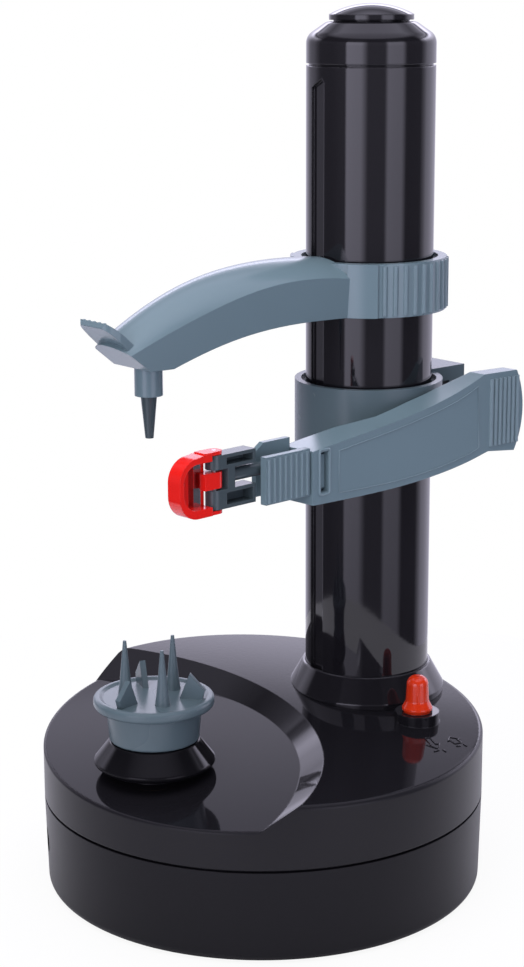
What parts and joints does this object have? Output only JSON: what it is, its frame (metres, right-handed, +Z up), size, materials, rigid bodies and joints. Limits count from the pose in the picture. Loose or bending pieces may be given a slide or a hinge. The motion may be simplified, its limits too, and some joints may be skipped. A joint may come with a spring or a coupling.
{
  "type": "electric potato peeler",
  "caption": "Electric potato peeler: round battery base with pronged spindle, tall column, holding arm with a centring pin and a sprung blade arm on a lead screw.",
  "frame": {"origin": "centre of the round base, on the plane its rubber feet stand on", "axes": "+Z up, +X from the fruit spindle to the column, +Y to the back"},
  "size_m": [0.1459, 0.135, 0.2641],
  "materials": {
    "black_abs": "gloss",
    "black_satin": "satin",
    "grey_abs": "gloss",
    "dark_grey_abs": "satin",
    "red_plastic": "gloss",
    "orange_plastic": "gloss",
    "white_acetal": "satin",
    "steel": "polished",
    "zinc_steel": "satin",
    "rubber": "matt",
    "cell_wrap": "gloss",
    "bronze": "satin"
  },
  "bodies": {
    "base": {"lower_housing": "black_satin", "upper_housing": "black_abs", "rubber_feet": "rubber", "housing_screws": "zinc_steel", "aa_cells": "cell_wrap", "battery_contacts": "zinc_steel", "dc_inlet": "black_satin", "gear_plate": "black_satin", "plate_screws": "zinc_steel", "drive_motor": "zinc_steel", "step_axle": "steel", "idler_axle": "steel", "spindle_bush": "bronze", "switch_body": "black_satin", "column_tube": "black_abs", "column_foot": "black_abs", "column_cap": "black_abs", "cap_dome": "black_abs", "top_bush": "white_acetal"},
    "spindle": {"spindle_gear": "white_acetal", "spindle_shaft": "steel", "drive_hub": "black_abs"},
    "cup": {"prong_cup": "grey_abs"},
    "idler": {"idler_gear": "white_acetal"},
    "screw": {"lead_screw": "white_acetal", "screw_gear": "white_acetal"},
    "step_wheel": {"step_gear": "white_acetal"},
    "rotor": {"motor_shaft": "steel", "motor_pinion": "bronze"},
    "switch": {"switch_knob": "orange_plastic", "switch_rod": "white_acetal"},
    "door": {"battery_door": "black_satin"},
    "holding_arm": {"upper_arm": "grey_abs", "pin_socket": "grey_abs"},
    "pin": {"centre_pin": "dark_grey_abs"},
    "carriage": {"carriage_sleeve": "grey_abs", "nut_cover": "grey_abs", "nut_spring": "steel", "arm_spring": "steel", "arm_pivot_pin": "steel"},
    "nut": {"half_nut": "white_acetal"},
    "button": {"release_button": "dark_grey_abs"},
    "cutting_arm": {"blade_arm": "grey_abs", "blade_cartridge": "grey_abs"},
    "yoke": {"blade_yoke": "dark_grey_abs", "shoe_pins": "steel"},
    "shoe": {"blade_shoe": "red_plastic", "peeling_blade": "steel"}
  },
  "joints": [
    {"name": "spindle_spin", "type": "hinge", "parent": "base", "child": "spindle", "pos_m": [-0.042, 0, 0.05], "axis": [0, 0, 1], "continuous": true},
    {"name": "idler_spin", "type": "hinge", "parent": "base", "child": "idler", "pos_m": [0.00327, 0.00566, 0.029], "axis": [0, 0, 1], "continuous": true},
    {"name": "lead_screw_spin", "type": "hinge", "parent": "base", "child": "screw", "pos_m": [0.0435, 0, 0.029], "axis": [0, 0, 1], "continuous": true},
    {"name": "step_gear_spin", "type": "hinge", "parent": "base", "child": "step_wheel", "pos_m": [0.02193, 0.03601, 0.029], "axis": [0, 0, 1], "continuous": true},
    {"name": "motor_spin", "type": "hinge", "parent": "base", "child": "rotor", "pos_m": [0.00327, 0.04766, 0.035], "axis": [0, 0, 1], "continuous": true},
    {"name": "prong_cup_lift", "type": "slide", "parent": "spindle", "child": "cup", "axis": [0, 0, 1], "range_m": [0, 0.012]},
    {"name": "switch_press", "type": "slide", "parent": "base", "child": "switch", "axis": [0, 0, 1], "range_m": [0, 0.003]},
    {"name": "battery_door_open", "type": "hinge", "parent": "base", "child": "door", "pos_m": [0, 0.02155, 0.0017], "axis": [1, 0, 0], "range_deg": [0, 90]},
    {"name": "holding_arm_slide", "type": "slide", "parent": "base", "child": "holding_arm", "axis": [0, 0, 1], "range_m": [-0.01, 0.05]},
    {"name": "centre_pin_spin", "type": "hinge", "parent": "holding_arm", "child": "pin", "pos_m": [-0.042, 0, 0.155], "axis": [0, 0, 1], "continuous": true},
    {"name": "carriage_slide", "type": "slide", "parent": "base", "child": "carriage", "axis": [0, 0, 1], "range_m": [-0.055, 0.01]},
    {"name": "half_nut_release", "type": "slide", "parent": "carriage", "child": "nut", "axis": [1, 0, 0], "range_m": [0, 0.002], "deforming": ["nut_spring"]},
    {"name": "release_button_press", "type": "slide", "parent": "carriage", "child": "button", "axis": [0, 1, 0], "range_m": [0, 0.002], "stiffness_N_per_m": 300},
    {"name": "blade_arm_swing", "type": "hinge", "parent": "carriage", "child": "cutting_arm", "pos_m": [0.046, -0.028, 0.138], "axis": [0, 0, 1], "range_deg": [-6, 25], "stiffness_Nm_per_rad": 0.15},
    {"name": "blade_head_roll", "type": "hinge", "parent": "cutting_arm", "child": "yoke", "pos_m": [-0.0239, -0.03177, 0.1387], "axis": [-0.9981, -0.061, 0], "range_deg": [-15, 15]},
    {"name": "blade_shoe_swivel", "type": "hinge", "parent": "yoke", "child": "shoe", "pos_m": [-0.04526, -0.03308, 0.1387], "axis": [0, 0, 1], "range_deg": [-15, 15]}
  ],
  "couplings": [
    {"joint": "idler_spin", "follows": "spindle_spin", "ratio": -0.62222},
    {"joint": "lead_screw_spin", "follows": "spindle_spin", "ratio": 1.4},
    {"joint": "step_gear_spin", "follows": "spindle_spin", "ratio": 2.3333},
    {"joint": "motor_spin", "follows": "spindle_spin", "ratio": -10.5},
    {"joint": "half_nut_release", "follows": "release_button_press", "ratio": 1}
  ]
}
